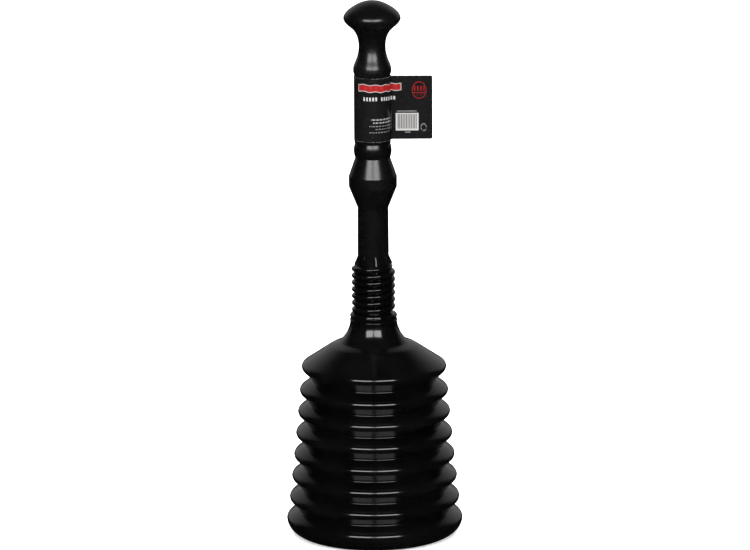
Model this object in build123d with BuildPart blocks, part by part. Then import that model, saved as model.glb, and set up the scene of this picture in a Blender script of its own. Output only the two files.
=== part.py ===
from build123d import *
import os
from math import cos, radians, sin

# A bellows sink plunger, standing upright on its mouth. Millimetres, +Z up, origin at the
# centre of the mouth, on the surface that it stands on.
#
# The real plunger is three pieces: a blow-moulded bellows with a threaded neck, a blow-moulded
# hollow handle that screws into the neck, and a label wrapped round the grip. The bellows is
# divided here where it flexes: rigid crest rings, and folds that change height between them.
# Every outline point is (radius, height).

# Bellows: eight lobes, counted from 0 at the base to 7 at the shoulder.
TOP_LOBE = 7
BASE_CREST_HEIGHT = 13.9
FOLD_PITCH = 19.15
TOP_FOLD_PITCH = 21.0
BASE_RADIUS = 76.8
SHOULDER_RADIUS = 63.0
LOBE_STEP = 1.62
LOBE_STEP_GROWTH = 0.04
BELLOWS_WALL = 1.8
CREST_BEND = 4.05
BASE_CREST_BEND = 4.6
VALLEY_BEND = 0.9
UPPER_WALL_SLOPE = 36.3
LOWER_WALL_SLOPE = 44.4
RING_EDGE = 0.7

# Mouth: the base lobe turns under to a flat seat, then a short lip.
SEAT_OUTER_RADIUS = 59.3
SEAT_INNER_RADIUS = 56.5
LIP_BEND = 6.0
LIP_TURN = 45.0

# Shoulder above the top crest, and the flare up to the neck.
SHOULDER_SLOPE = 34.0
CROWN_RADIUS = 37.5
CROWN_SLOPE = 22.0
CROWN_BEND = 20.0
FLARE_FOOT_RADIUS = 29.7
FLARE_FOOT_SLOPE = 41.5
FLARE_TOP_RADIUS = 19.9

# Neck: a collar with two beads, then a tube with a coarse helical thread pressed out of it.
COLLAR_TOP = 197.0
COLLAR_STEP = 1.6
BEAD_HEIGHTS = (191.4, 195.4)
BEAD_RADIUS = 20.6
BEAD_BEND = 1.1
NECK_RADIUS = 15.7
NECK_TOP = 240.0
NECK_BORE_RADIUS = NECK_RADIUS - BELLOWS_WALL

# Thread, right-handed, from inside the collar up to the neck's rim. Each ridge or groove is a
# helical sweep with a tapered section. The spigot's thread starts one turn higher.
THREAD_PITCH = 6.0
THREAD_BOTTOM = 197.5
THREAD_TURNS = 6.85
SPIGOT_THREAD_BOTTOM = THREAD_BOTTOM + THREAD_PITCH
SPIGOT_THREAD_TURNS = 5.6
THREAD_ROOT = 0.4
RIDGE_RADIUS = 18.4
RIDGE_WIDTH = 4.6
GROOVE_RADIUS = 16.7
GROOVE_WIDTH = 4.2
SPIGOT_THREAD_RADIUS = 16.3
SPIGOT_THREAD_WIDTH = 3.2
THREAD_CREST_SHARE = 0.3

# Handle: knob, waist, bulge, grip, bulge, barrel with conical ends, shaft and spigot, whose
# lower end keeps the hole that the hollow was blown through.
HANDLE_WALL = 2.2
KNOB_TOP = 472.4
DOME_RADIUS = 17.6
DOME_HEIGHT = 466.3
DOME_NORMAL = 55.0
KNOB_RADIUS = 24.5
KNOB_WIDEST_HEIGHT = 457.2
COVE_RADIUS = 16.6
COVE_HEIGHT = 447.4
WAIST_RADIUS = 11.45
WAIST_HEIGHT = 432.5
SWELL_RADIUS = 13.9
SWELL_HEIGHT = 420.6
BULGE_RADIUS = 16.3
BULGE_BEND = 7.0
UPPER_BULGE_HEIGHT = 412.8
LOWER_BULGE_HEIGHT = 341.6
GRIP_RADIUS = 15.6
GRIP_TOP = 408.4
GRIP_BOTTOM = 348.0
GROOVE_EDGE_RADIUS = 15.0
LOWER_GROOVE_HEIGHT = 335.2
BARREL_RADIUS = 20.7
BARREL_TOP = 318.9
BARREL_BOTTOM = 309.6
BARREL_BEND = 1.5
SHAFT_RADIUS = 13.15
SHAFT_TOP = 290.9
SHAFT_FOOT_BEND = 0.5
SPIGOT_RADIUS = 13.5
SPIGOT_BOTTOM = 198.0
SPIGOT_BEND = 4.0
BLOW_HOLE_RADIUS = 3.0

# Ribs between the shaft and the neck's rim.
RIB_COUNT = 8
RIB_TURN = 9.0
RIB_ROOT = 12.6
RIB_TOP = 250.9
RIB_BOTTOM = 240.3
RIB_REACH = 16.6
RIB_FOOT = 1.4
RIB_THICKNESS = 1.7

# Label: a sleeve round the grip, with its two ends stuck back to back as a flag.
LABEL_THICKNESS = 0.5
LABEL_GAP = 0.05
LABEL_TOP = 406.7
LABEL_BOTTOM = 351.0
FLAG_REACH = 51.7
FLAG_THICKNESS = 0.6
FLAG_ROOT_BEND = 2.5


def along(start, length, angle):
    """The point a length away from a start, in a direction given in degrees from outwards to up."""
    return (start[0] + length * cos(radians(angle)), start[1] + length * sin(radians(angle)))


def crossing(start_a, angle_a, start_b, angle_b):
    """Where the line through start_a at angle_a meets the line through start_b at angle_b."""
    across = start_b[0] - start_a[0]
    up = start_b[1] - start_a[1]
    a = radians(angle_a)
    b = radians(angle_b)
    length = (across * sin(b) - up * cos(b)) / sin(b - a)
    return along(start_a, length, angle_a)


def lobe_radius(lobe):
    """Radius of a lobe's crest: each lobe is a little wider than the one above it."""
    if lobe == 0:
        return BASE_RADIUS
    below = TOP_LOBE - lobe
    return SHOULDER_RADIUS + LOBE_STEP * below + LOBE_STEP_GROWTH * below**2


def lobe_height(lobe):
    """Height of a lobe's crest: the top fold is the tallest."""
    if lobe == TOP_LOBE:
        return lobe_height(lobe - 1) + TOP_FOLD_PITCH
    return BASE_CREST_HEIGHT + lobe * FOLD_PITCH


def crest_bend(lobe):
    """Centre and radius of the bend at a lobe's crest."""
    bend = BASE_CREST_BEND if lobe == 0 else CREST_BEND
    return (lobe_radius(lobe) - bend, lobe_height(lobe)), bend


def upper_edge(lobe):
    """Where a lobe's ring ends on its upper wall, and the fold above begins."""
    centre, bend = crest_bend(lobe)
    bend_end = along(centre, bend, 90 - UPPER_WALL_SLOPE)
    return along(bend_end, RING_EDGE, 180 - UPPER_WALL_SLOPE)


def lower_edge(lobe):
    """Where a lobe's ring ends on its lower wall, and the fold below begins."""
    centre, bend = crest_bend(lobe)
    bend_end = along(centre, bend, LOWER_WALL_SLOPE - 90)
    return along(bend_end, RING_EDGE, 180 + LOWER_WALL_SLOPE)


def wall_band(points, bend):
    """A band of bellows wall: an outline bent at its corner, thickened inwards and turned."""
    with BuildPart() as band:
        with BuildSketch(Plane.XZ):
            with BuildLine():
                FilletPolyline(*points, radius=bend)
                offset(amount=BELLOWS_WALL, side=Side.LEFT)
            make_face()
        revolve(axis=Axis.Z)
    return band.part


def bellows_ring(lobe):
    """The rounded crest of one lobe, with the start of both its walls."""
    lower = lower_edge(lobe)
    upper = upper_edge(lobe)
    corner = crossing(lower, LOWER_WALL_SLOPE, upper, -UPPER_WALL_SLOPE)
    return wall_band((lower, corner, upper), CREST_BEND)


def bellows_fold(fold):
    """The valley below lobe number fold: the part of the wall that flexes."""
    lower = upper_edge(fold - 1)
    upper = lower_edge(fold)
    valley = crossing(lower, 180 - UPPER_WALL_SLOPE, upper, 180 + LOWER_WALL_SLOPE)
    return wall_band((lower, valley, upper), VALLEY_BEND)


def bellows_base():
    """The base lobe: its crest, the side that turns under to the seat, and the lip."""
    centre, bend = crest_bend(0)
    wall_end = 90 - UPPER_WALL_SLOPE
    edge = upper_edge(0)
    inner_edge = along(edge, BELLOWS_WALL, wall_end - 180)
    side_centre = (SEAT_OUTER_RADIUS, BASE_CREST_HEIGHT)
    side = BASE_RADIUS - SEAT_OUTER_RADIUS
    inner_side = side - BELLOWS_WALL
    inner_drop = BASE_CREST_HEIGHT - BELLOWS_WALL
    lip_centre = (SEAT_INNER_RADIUS, LIP_BEND)
    lip_end = -90 - LIP_TURN
    inner_lip = LIP_BEND - BELLOWS_WALL
    with BuildPart() as base:
        with BuildSketch(Plane.XZ):
            with BuildLine():
                Line(inner_edge, edge)
                Line(edge, along(centre, bend, wall_end))
                CenterArc(centre, bend, 0, wall_end)
                EllipticalCenterArc(side_centre, side, BASE_CREST_HEIGHT, -90, arc_size=90)
                Line((SEAT_OUTER_RADIUS, 0), (SEAT_INNER_RADIUS, 0))
                CenterArc(lip_centre, LIP_BEND, lip_end, LIP_TURN)
                Line(along(lip_centre, LIP_BEND, lip_end), along(lip_centre, inner_lip, lip_end))
                CenterArc(lip_centre, inner_lip, lip_end, LIP_TURN)
                Line((SEAT_INNER_RADIUS, BELLOWS_WALL), (SEAT_OUTER_RADIUS, BELLOWS_WALL))
                EllipticalCenterArc(side_centre, inner_side, inner_drop, -90, arc_size=90)
                CenterArc(centre, bend - BELLOWS_WALL, 0, wall_end)
                Line(along(centre, bend - BELLOWS_WALL, wall_end), inner_edge)
            make_face()
        revolve(axis=Axis.Z)
    return base.part


def helical_ridge(root, crest, width, bottom=THREAD_BOTTOM, turns=THREAD_TURNS):
    """A helical ridge from a root radius out to a crest radius, narrower at its crest."""
    half_root = width / 2
    half_crest = half_root * THREAD_CREST_SHARE
    depth = crest - root
    with BuildPart() as ridge:
        with BuildLine(Plane.XY.offset(bottom)):
            path = Helix(pitch=THREAD_PITCH, height=THREAD_PITCH * turns, radius=root)
        with BuildSketch(Plane(origin=path @ 0, x_dir=(1, 0, 0), z_dir=path % 0)):
            with BuildLine():
                Polyline((0, -half_root), (depth, -half_crest), (depth, half_crest), (0, half_root), close=True)
            make_face()
        sweep(path=path, is_frenet=True)
    return ridge.part


def bellows_top():
    """The shoulder lobe, its crown, the flare and the threaded neck, moulded in one."""
    lower = lower_edge(TOP_LOBE)
    centre, bend = crest_bend(TOP_LOBE)
    shoulder_start = along(centre, bend, 90 - SHOULDER_SLOPE)
    corner = crossing(lower, LOWER_WALL_SLOPE, shoulder_start, -SHOULDER_SLOPE)
    crown = crossing(shoulder_start, 180 - SHOULDER_SLOPE, (CROWN_RADIUS, 0), 90)
    foot = crossing(crown, 180 - CROWN_SLOPE, (FLARE_FOOT_RADIUS, 0), 90)
    flare_turn = 90 - FLARE_FOOT_SLOPE
    flare_bend = (FLARE_FOOT_RADIUS - FLARE_TOP_RADIUS) / (1 - cos(radians(flare_turn)))
    flare_centre = along(foot, flare_bend, flare_turn)
    ridge = helical_ridge(NECK_RADIUS - THREAD_ROOT, RIDGE_RADIUS, RIDGE_WIDTH)
    groove = helical_ridge(NECK_BORE_RADIUS - THREAD_ROOT, GROOVE_RADIUS, GROOVE_WIDTH)
    with BuildPart() as top:
        with BuildSketch(Plane.XZ):
            with BuildLine():
                FilletPolyline(lower, corner, crown, foot, radius=(CREST_BEND, CROWN_BEND))
                CenterArc(flare_centre, flare_bend, 180, flare_turn)
                Polyline(
                    along(flare_centre, flare_bend, 180),
                    (FLARE_TOP_RADIUS, COLLAR_TOP),
                    (NECK_RADIUS, COLLAR_TOP + COLLAR_STEP),
                    (NECK_RADIUS, NECK_TOP),
                )
                offset(amount=BELLOWS_WALL, side=Side.LEFT)
            make_face()
            with Locations(*[(BEAD_RADIUS - BEAD_BEND, height) for height in BEAD_HEIGHTS]):
                Circle(BEAD_BEND)
        revolve(axis=Axis.Z)
        add(ridge)
        add(groove, mode=Mode.SUBTRACT)
        split(bisect_by=Plane.XY.offset(NECK_TOP), keep=Keep.BOTTOM)
    return top.part


def rib_plane(azimuth):
    """The upright plane through the axis at an azimuth, its x outwards and its y up."""
    a = radians(azimuth)
    return Plane(origin=(0, 0, 0), x_dir=(cos(a), sin(a), 0), z_dir=(sin(a), -cos(a), 0))


def handle_body(inset):
    """The handle's turned body, or its hollow when every wall is inset by the wall's thickness."""
    dome = along((DOME_RADIUS, DOME_HEIGHT), -inset, DOME_NORMAL)
    knob = (KNOB_RADIUS - inset, KNOB_WIDEST_HEIGHT)
    upper_bulge = (BULGE_RADIUS - inset, UPPER_BULGE_HEIGHT)
    grip_top = (GRIP_RADIUS - inset, GRIP_TOP)
    grip_bottom = (GRIP_RADIUS - inset, GRIP_BOTTOM)
    groove_start = (GROOVE_EDGE_RADIUS - inset, GRIP_BOTTOM)
    groove_end = (GROOVE_EDGE_RADIUS - inset, LOWER_GROOVE_HEIGHT)
    with BuildPart() as body:
        with BuildSketch(Plane.XZ):
            with BuildLine():
                Spline((0, KNOB_TOP - inset), dome, knob, tangents=((1, 0), (0, -1)))
                Spline(
                    knob,
                    (COVE_RADIUS - inset, COVE_HEIGHT),
                    (WAIST_RADIUS - inset, WAIST_HEIGHT),
                    (SWELL_RADIUS - inset, SWELL_HEIGHT),
                    upper_bulge,
                    tangents=((0, -1), (0, -1)),
                )
                RadiusArc(upper_bulge, grip_top, BULGE_BEND)
                Polyline(grip_top, grip_bottom, groove_start)
                ThreePointArc(groove_start, (BULGE_RADIUS - inset, LOWER_BULGE_HEIGHT), groove_end)
                FilletPolyline(
                    groove_end,
                    (BARREL_RADIUS - inset, BARREL_TOP),
                    (BARREL_RADIUS - inset, BARREL_BOTTOM),
                    (SHAFT_RADIUS - inset, SHAFT_TOP),
                    (SPIGOT_RADIUS - inset, NECK_TOP),
                    (SPIGOT_RADIUS - inset, SPIGOT_BOTTOM + inset),
                    (0, SPIGOT_BOTTOM + inset),
                    radius=(BARREL_BEND, BARREL_BEND, BARREL_BEND, SHAFT_FOOT_BEND, SPIGOT_BEND - inset),
                )
                Line((0, SPIGOT_BOTTOM + inset), (0, KNOB_TOP - inset))
            make_face()
        revolve(axis=Axis.Z)
    return body.part


def handle():
    """The blow-moulded handle: its hollow body, ribs, threaded spigot and blow hole."""
    body = handle_body(0)
    hollow = handle_body(HANDLE_WALL)
    thread = helical_ridge(
        SPIGOT_RADIUS - THREAD_ROOT,
        SPIGOT_THREAD_RADIUS,
        SPIGOT_THREAD_WIDTH,
        SPIGOT_THREAD_BOTTOM,
        SPIGOT_THREAD_TURNS,
    )
    with BuildPart() as grip:
        add(body)
        for rib in range(RIB_COUNT):
            with BuildSketch(rib_plane(RIB_TURN + rib * 360 / RIB_COUNT)):
                with BuildLine():
                    Polyline(
                        (RIB_ROOT, RIB_TOP),
                        (RIB_REACH, RIB_BOTTOM + RIB_FOOT),
                        (RIB_REACH, RIB_BOTTOM),
                        (RIB_ROOT, RIB_BOTTOM),
                        close=True,
                    )
                make_face()
            extrude(amount=RIB_THICKNESS / 2, both=True)
        add(thread)
        add(hollow, mode=Mode.SUBTRACT)
        with BuildSketch(Plane.XY.offset(SPIGOT_BOTTOM)):
            Circle(BLOW_HOLE_RADIUS)
        extrude(amount=2 * HANDLE_WALL, mode=Mode.SUBTRACT)
    return grip.part


def label():
    """The label: one strip round the grip, closed into a flag on the +X side."""
    inner = GRIP_RADIUS + LABEL_GAP
    outer = inner + LABEL_THICKNESS
    flag_middle = (inner + LABEL_THICKNESS / 2 + FLAG_REACH) / 2
    flag_length = FLAG_REACH - inner - LABEL_THICKNESS / 2
    with BuildPart() as strip:
        with BuildSketch(Plane.XY.offset(LABEL_BOTTOM)) as section:
            Circle(outer)
            with Locations((flag_middle, 0)):
                Rectangle(flag_length, FLAG_THICKNESS)
            roots = section.vertices().filter_by_position(Axis.X, outer - 1, outer)
            fillet(roots, radius=FLAG_ROOT_BEND)
            Circle(inner, mode=Mode.SUBTRACT)
        extrude(amount=LABEL_TOP - LABEL_BOTTOM)
    return strip.part


def save(piece, name):
    """Labels a finished piece and writes it as its own STEP file."""
    piece.label = name
    export_step(piece, f"parts/{name}.step")


os.makedirs("parts", exist_ok=True)
save(bellows_base(), "bellows_base")
for lobe in range(1, TOP_LOBE):
    save(bellows_ring(lobe), f"bellows_ring_{lobe}")
for fold in range(1, TOP_LOBE + 1):
    save(bellows_fold(fold), f"bellows_fold_{fold}")
save(bellows_top(), "bellows_top")
save(handle(), "handle")
save(label(), "grip_label")
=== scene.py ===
"""The looks of a bellows sink plunger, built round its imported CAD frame.

Outlines are drawn as in the CAD source: points of (radius, height) in millimetres, from the mouth
upwards with the outside on the right. Meshes are in metres.
"""

from math import atan2, ceil, cos, degrees, dist, pi, radians, sin, sqrt

import bpy
import numpy as np
from mathutils import Matrix, Vector


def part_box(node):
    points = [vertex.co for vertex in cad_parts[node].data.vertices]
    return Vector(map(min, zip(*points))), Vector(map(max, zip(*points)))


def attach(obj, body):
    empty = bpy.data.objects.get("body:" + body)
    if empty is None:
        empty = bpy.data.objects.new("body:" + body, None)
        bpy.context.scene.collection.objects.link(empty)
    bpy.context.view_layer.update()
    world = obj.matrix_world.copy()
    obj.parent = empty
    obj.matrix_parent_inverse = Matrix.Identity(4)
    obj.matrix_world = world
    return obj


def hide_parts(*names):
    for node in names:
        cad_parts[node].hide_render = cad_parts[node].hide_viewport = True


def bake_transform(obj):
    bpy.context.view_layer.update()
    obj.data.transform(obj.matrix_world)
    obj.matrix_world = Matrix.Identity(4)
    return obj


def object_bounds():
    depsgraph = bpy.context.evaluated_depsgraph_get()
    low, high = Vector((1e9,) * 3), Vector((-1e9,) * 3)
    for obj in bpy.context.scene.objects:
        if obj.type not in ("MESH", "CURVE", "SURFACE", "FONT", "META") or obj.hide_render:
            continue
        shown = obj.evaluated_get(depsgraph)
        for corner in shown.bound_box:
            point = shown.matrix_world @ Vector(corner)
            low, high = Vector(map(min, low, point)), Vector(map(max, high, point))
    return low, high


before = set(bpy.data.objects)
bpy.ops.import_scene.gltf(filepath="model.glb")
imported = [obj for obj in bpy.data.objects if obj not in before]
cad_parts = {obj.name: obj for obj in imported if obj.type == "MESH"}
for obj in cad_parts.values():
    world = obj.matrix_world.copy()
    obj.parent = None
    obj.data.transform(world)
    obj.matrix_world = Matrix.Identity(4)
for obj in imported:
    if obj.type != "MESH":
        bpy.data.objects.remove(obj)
CAD_LOW, CAD_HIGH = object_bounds()

MM = 0.001

# Bellows: eight lobes, counted from 0 at the base to 7 at the shoulder.
TOP_LOBE = 7
BASE_CREST_HEIGHT = 13.9
FOLD_PITCH = 19.15
TOP_FOLD_PITCH = 21.0
BASE_RADIUS = 76.8
SHOULDER_RADIUS = 63.0
LOBE_STEP = 1.62
LOBE_STEP_GROWTH = 0.04
BELLOWS_WALL = 1.8
CREST_BEND = 4.05
BASE_CREST_BEND = 4.6
VALLEY_BEND = 0.9
UPPER_WALL_SLOPE = 36.3
LOWER_WALL_SLOPE = 44.4
RING_EDGE = 0.7

# Mouth.
SEAT_OUTER_RADIUS = 59.3
SEAT_INNER_RADIUS = 56.5
LIP_BEND = 6.0
LIP_TURN = 45.0

# Shoulder, crown and flare.
SHOULDER_SLOPE = 34.0
CROWN_RADIUS = 37.5
CROWN_SLOPE = 22.0
CROWN_BEND = 20.0
FLARE_FOOT_RADIUS = 29.7
FLARE_FOOT_SLOPE = 41.5
FLARE_TOP_RADIUS = 19.9

# Neck: collar, beads and the thread pressed out of the wall.
COLLAR_TOP = 197.0
COLLAR_STEP = 1.6
COLLAR_BEND = 0.6
BEAD_HEIGHTS = (191.4, 195.4)
BEAD_HALF_WIDTH = 0.95
BEAD_RISE = 0.75
NECK_RADIUS = 15.7
NECK_TOP = 240.0
NECK_ROW = 0.42
THREAD_PITCH = 6.0
THREAD_BOTTOM = 197.5
THREAD_TURNS = 7.15
THREAD_FADE = 0.5
SPIGOT_THREAD_BOTTOM = THREAD_BOTTOM + THREAD_PITCH
SPIGOT_THREAD_TURNS = 5.6
SPIGOT_THREAD_FADE = 0.1
THREAD_START_FADE = 0.1
THREAD_FLATNESS = 3.2
RIDGE_RISE = 3.1
RIDGE_HALF_WIDTH = 2.8
RIM_BEAD_HEIGHT = 239.0
RIM_BEAD_RISE = 1.2
RIM_BEAD_HALF_WIDTH = 1.1
SPIGOT_RIDGE_RISE = 2.5
SPIGOT_RIDGE_HALF_WIDTH = 1.6

# Handle.
HANDLE_WALL = 2.2
KNOB_TOP = 472.4
DOME_RADIUS = 17.6
DOME_HEIGHT = 466.3
DOME_NORMAL = 55.0
KNOB_RADIUS = 24.5
KNOB_WIDEST_HEIGHT = 457.2
COVE_RADIUS = 16.6
COVE_HEIGHT = 447.4
WAIST_RADIUS = 11.45
WAIST_HEIGHT = 432.5
SWELL_RADIUS = 13.9
SWELL_HEIGHT = 420.6
BULGE_RADIUS = 16.3
BULGE_BEND = 7.0
UPPER_BULGE_HEIGHT = 412.8
LOWER_BULGE_HEIGHT = 341.6
GRIP_RADIUS = 15.6
GRIP_TOP = 408.4
GRIP_BOTTOM = 348.0
GRIP_STEP_BEND = 0.25
GROOVE_EDGE_RADIUS = 15.0
LOWER_GROOVE_HEIGHT = 335.2
BARREL_RADIUS = 20.7
BARREL_TOP = 318.9
BARREL_BOTTOM = 309.6
BARREL_BEND = 1.5
SHAFT_RADIUS = 13.15
SHAFT_TOP = 290.9
SPIGOT_RADIUS = 13.5
SPIGOT_BOTTOM = 198.0
SPIGOT_BEND = 4.0
BLOW_HOLE_RADIUS = 3.0
RIB_COUNT = 8
RIB_TURN = 9.0
RIB_ROOT = 12.6
RIB_TOP = 250.9
RIB_BOTTOM = 240.3
RIB_REACH = 16.6
RIB_FOOT = 1.4
RIB_HALF_THICKNESS = 0.6
RIB_LEAN = (RIB_REACH - RIB_ROOT) / (RIB_TOP - RIB_BOTTOM - RIB_FOOT)

# Label film, whose flag is two layers of it stuck back to back.
FILM = 0.24
FILM_GAP = 0.02
FLAG_ROOT_BEND = 2.5
FLAG_CORNER = 1.2
FLAG_ROOT = 20.0
FILM_OFF_GRIP = 0.08
FILM_LOOSENESS = 0.05
LOOSE_FULL = 12.0
LOOSE_END = 18.0
LABEL_ROWS = 33
UV_MILLIMETRES = 100

# Blow-moulding marks, in millimetres and radians.
SEAM_RISE = 0.13
BELLOWS_SEAM = 0.011
NECK_SEAM = 0.02
HANDLE_SEAM = 0.022
WALL_WAVE = 0.05


# --- Outlines ---------------------------------------------------------------------------------


def along(start, length, angle):
    """The point a length away from a start, in a direction given in degrees from outwards to up."""
    return (start[0] + length * cos(radians(angle)), start[1] + length * sin(radians(angle)))


def crossing(start_a, angle_a, start_b, angle_b):
    """Where the line through start_a at angle_a meets the line through start_b at angle_b."""
    across = start_b[0] - start_a[0]
    up = start_b[1] - start_a[1]
    a = radians(angle_a)
    b = radians(angle_b)
    length = (across * sin(b) - up * cos(b)) / sin(b - a)
    return along(start_a, length, angle_a)


def bend(centre, radius, start, end, steps):
    """Stations round a bend that bulges outwards: (radius, height, the angle that it faces)."""
    return [(*along(centre, radius, angle), angle) for angle in np.linspace(start, end, steps + 1)]


def hollow_bend(centre, radius, start, end, steps):
    """Stations round a bend whose centre is outside the wall."""
    return [(*along(centre, radius, angle), angle - 180) for angle in np.linspace(start, end, steps + 1)]


def rounded(corners, bends, steps=8, spacing=3.0):
    """Stations along straight runs from corner to corner, each inner corner rounded by its bend."""
    corners = [Vector(corner) for corner in corners]
    headings = [b - a for a, b in zip(corners, corners[1:])]
    angles = [degrees(atan2(h.y, h.x)) for h in headings]
    stations = []
    start = corners[0]
    for i, heading in enumerate(headings):
        heading = heading.normalized()
        last = i == len(headings) - 1
        turn = 0 if last else (angles[i + 1] - angles[i] + 180) % 360 - 180
        reach = 0 if last else bends[i] * abs(sin(radians(turn) / 2) / cos(radians(turn) / 2))
        end = corners[i + 1] - heading * reach
        length = (end - start).length
        pieces = max(1, ceil(length / spacing))
        facing = angles[i] - 90
        stations += [(*(start + (end - start) * k / pieces), facing) for k in range(pieces + 1)]
        if last:
            break
        side = 1 if turn > 0 else -1
        centre = along(end, -bends[i] * side, facing)
        for k in range(1, steps):
            angle = facing + turn * k / steps
            stations.append((*along(centre, bends[i] * side, angle), angle))
        start = corners[i + 1] + headings[i + 1].normalized() * reach
    return stations


def joined(*stretches):
    """Stretches of stations end to end, with the points that they share kept once."""
    stations = []
    for stretch in stretches:
        for station in stretch:
            if not stations or dist(stations[-1][:2], station[:2]) > 1e-4:
                stations.append(station)
    return stations


def smooth_curve(points, start, end, steps=12):
    """Points along the cubic spline through the given points, with its first and last directions."""
    points = np.array(points, float)
    spans = np.linalg.norm(np.diff(points, axis=0), axis=1)
    count = len(points)
    system = np.eye(count)
    known = np.zeros((count, 2))
    known[0] = start
    known[-1] = end
    for i in range(1, count - 1):
        before = spans[i - 1]
        after = spans[i]
        system[i, i - 1 : i + 2] = after, 2 * (before + after), before
        known[i] = 3 * (
            after / before * (points[i] - points[i - 1]) + before / after * (points[i + 1] - points[i])
        )
    slopes = np.linalg.solve(system, known)
    curve = [points[0]]
    for i, span in enumerate(spans):
        for t in np.linspace(0, 1, steps + 1)[1:]:
            curve.append(
                (2 * t**3 - 3 * t**2 + 1) * points[i]
                + (t**3 - 2 * t**2 + t) * span * slopes[i]
                + (3 * t**2 - 2 * t**3) * points[i + 1]
                + (t**3 - t**2) * span * slopes[i + 1]
            )
    return [tuple(point) for point in curve]


def faced(points, outside):
    """Plain points as loop points, each facing square to the line through its neighbours."""
    points = np.array(points, float)
    headings = np.gradient(points, axis=0)
    facings = np.degrees(np.arctan2(headings[:, 1], headings[:, 0])) - 90
    return [(*point, facing, outside) for point, facing in zip(points, facings)]


def wall_loop(outer, wall, round_start=False, round_end=False):
    """The closed loop of a wall: its outer stations upwards, its end, and its inner side back down.

    Each point is (radius, height, facing, 1 outside or 0 inside)."""
    inner = [(*along(station, -wall, station[2]), station[2], 0) for station in outer]
    loop = [(*station, 1) for station in outer]
    if round_end:
        loop += half_round(outer[-1], wall, 0, 180)
    loop += inner[::-1]
    if round_start:
        loop += half_round(outer[0], wall, -180, 0)
    return loop


def half_round(station, wall, start, end):
    """Loop points over the rounded edge of a wall that ends at a station."""
    centre = along(station, -wall / 2, station[2])
    turns = np.linspace(start, end, 9)[1:-1]
    return [(*along(centre, wall / 2, station[2] + turn), station[2], 1) for turn in turns]


# --- Bellows outlines -------------------------------------------------------------------------


def lobe_radius(lobe):
    """Radius of a lobe's crest: each lobe is a little wider than the one above it."""
    if lobe == 0:
        return BASE_RADIUS
    below = TOP_LOBE - lobe
    return SHOULDER_RADIUS + LOBE_STEP * below + LOBE_STEP_GROWTH * below**2


def lobe_height(lobe):
    """Height of a lobe's crest: the top fold is the tallest."""
    if lobe == TOP_LOBE:
        return lobe_height(lobe - 1) + TOP_FOLD_PITCH
    return BASE_CREST_HEIGHT + lobe * FOLD_PITCH


def crest_bend(lobe):
    """Centre and radius of the bend at a lobe's crest."""
    radius = BASE_CREST_BEND if lobe == 0 else CREST_BEND
    return (lobe_radius(lobe) - radius, lobe_height(lobe)), radius


def upper_edge(lobe):
    """Where a lobe's ring ends on its upper wall, and the fold above begins."""
    centre, radius = crest_bend(lobe)
    return along(along(centre, radius, 90 - UPPER_WALL_SLOPE), RING_EDGE, 180 - UPPER_WALL_SLOPE)


def lower_edge(lobe):
    """Where a lobe's ring ends on its lower wall, and the fold below begins."""
    centre, radius = crest_bend(lobe)
    return along(along(centre, radius, LOWER_WALL_SLOPE - 90), RING_EDGE, 180 + LOWER_WALL_SLOPE)


def ring_outline(lobe):
    """The rounded crest of one lobe, with the start of both its walls."""
    lower = lower_edge(lobe)
    upper = upper_edge(lobe)
    corner = crossing(lower, LOWER_WALL_SLOPE, upper, -UPPER_WALL_SLOPE)
    return wall_loop(rounded((lower, corner, upper), (CREST_BEND,), steps=16), BELLOWS_WALL)


def fold_outline(fold):
    """The valley below lobe number fold, with stations close enough to flex smoothly."""
    lower = upper_edge(fold - 1)
    upper = lower_edge(fold)
    valley = crossing(lower, 180 - UPPER_WALL_SLOPE, upper, 180 + LOWER_WALL_SLOPE)
    return wall_loop(rounded((lower, valley, upper), (VALLEY_BEND,), steps=10, spacing=1.0), BELLOWS_WALL)


def base_outline():
    """The base lobe: the rounded lip, the flat seat, the side that turns up, and the crest."""
    centre, radius = crest_bend(0)
    lip_centre = (SEAT_INNER_RADIUS, LIP_BEND)
    lip_round = degrees(BELLOWS_WALL / 2 / LIP_BEND)
    across = BASE_RADIUS - SEAT_OUTER_RADIUS
    side = []
    for angle in np.linspace(-90, 0, 25):
        a = radians(angle)
        facing = degrees(atan2(sin(a) / BASE_CREST_HEIGHT, cos(a) / across))
        side.append((SEAT_OUTER_RADIUS + across * cos(a), BASE_CREST_HEIGHT * (1 + sin(a)), facing))
    outer = joined(
        bend(lip_centre, LIP_BEND, -90 - LIP_TURN + lip_round, -90, 8),
        side,
        bend(centre, radius, 0, 90 - UPPER_WALL_SLOPE, 10),
        [(*upper_edge(0), 90 - UPPER_WALL_SLOPE)],
    )
    return wall_loop(outer, BELLOWS_WALL, round_start=True)


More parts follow.
